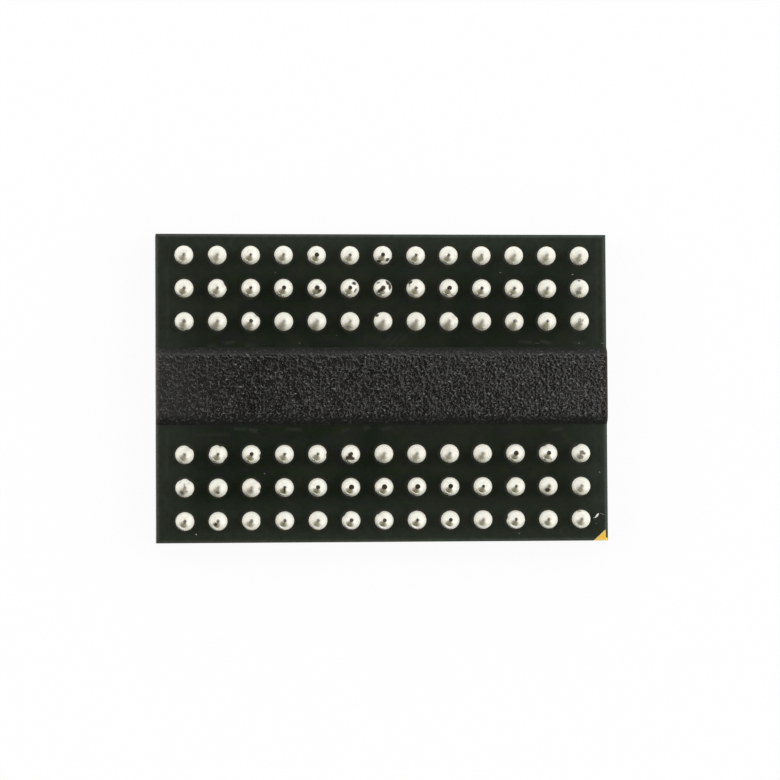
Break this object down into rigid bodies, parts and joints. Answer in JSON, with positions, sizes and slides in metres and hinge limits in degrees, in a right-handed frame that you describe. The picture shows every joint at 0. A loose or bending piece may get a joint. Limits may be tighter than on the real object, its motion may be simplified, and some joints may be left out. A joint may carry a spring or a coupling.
{
  "type": "ball grid array memory chip",
  "caption": "Thin board-on-chip ball grid array with a moulded cap, a moulded strip over its bonding window and rows of solder balls on both sides of the strip.",
  "frame": {"origin": "centre of the flat label face, which is the lowest face", "axes": "+X along the long side towards ball row A, +Y from ball column 1 to column 9, +Z from the label face up to the ball tips"},
  "size_m": [0.011, 0.0074, 0.0011],
  "materials": {
    "mould_compound": "matt black moulding compound with a fine eroded grain",
    "solder_mask": "very dark green, satin film over copper and laminate",
    "laminate": "sawn glass-filled resin",
    "silicon": "dark grey, polished",
    "die_tape": "amber adhesive tape",
    "etched_copper": "etched copper, plated where it is bare",
    "gold_wire": "bright drawn gold",
    "gold_plate": "satin gold plate",
    "solder": "satin lead-free solder as reflowed, with small dark marks"
  },
  "bodies": {
    "root": {"mould_body": "mould_compound", "memory_die": "silicon", "die_tape_front": "die_tape", "die_tape_back": "die_tape", "solder_mask_die_side": "solder_mask", "laminate_core": "laminate", "solder_mask_ball_side": "solder_mask", "copper_nets_front": "etched_copper", "copper_nets_back": "etched_copper", "bond_wires_front": "gold_wire", "bond_wires_back": "gold_wire", "pin_one_mark": "gold_plate", "solder_balls_row_a": "solder", "solder_balls_row_b": "solder", "solder_balls_row_c": "solder", "solder_balls_row_d": "solder", "solder_balls_row_e": "solder", "solder_balls_row_f": "solder", "solder_balls_row_g": "solder", "solder_balls_row_h": "solder", "solder_balls_row_j": "solder", "solder_balls_row_k": "solder", "solder_balls_row_l": "solder", "solder_balls_row_m": "solder", "solder_balls_row_n": "solder"}
  },
  "joints": []
}
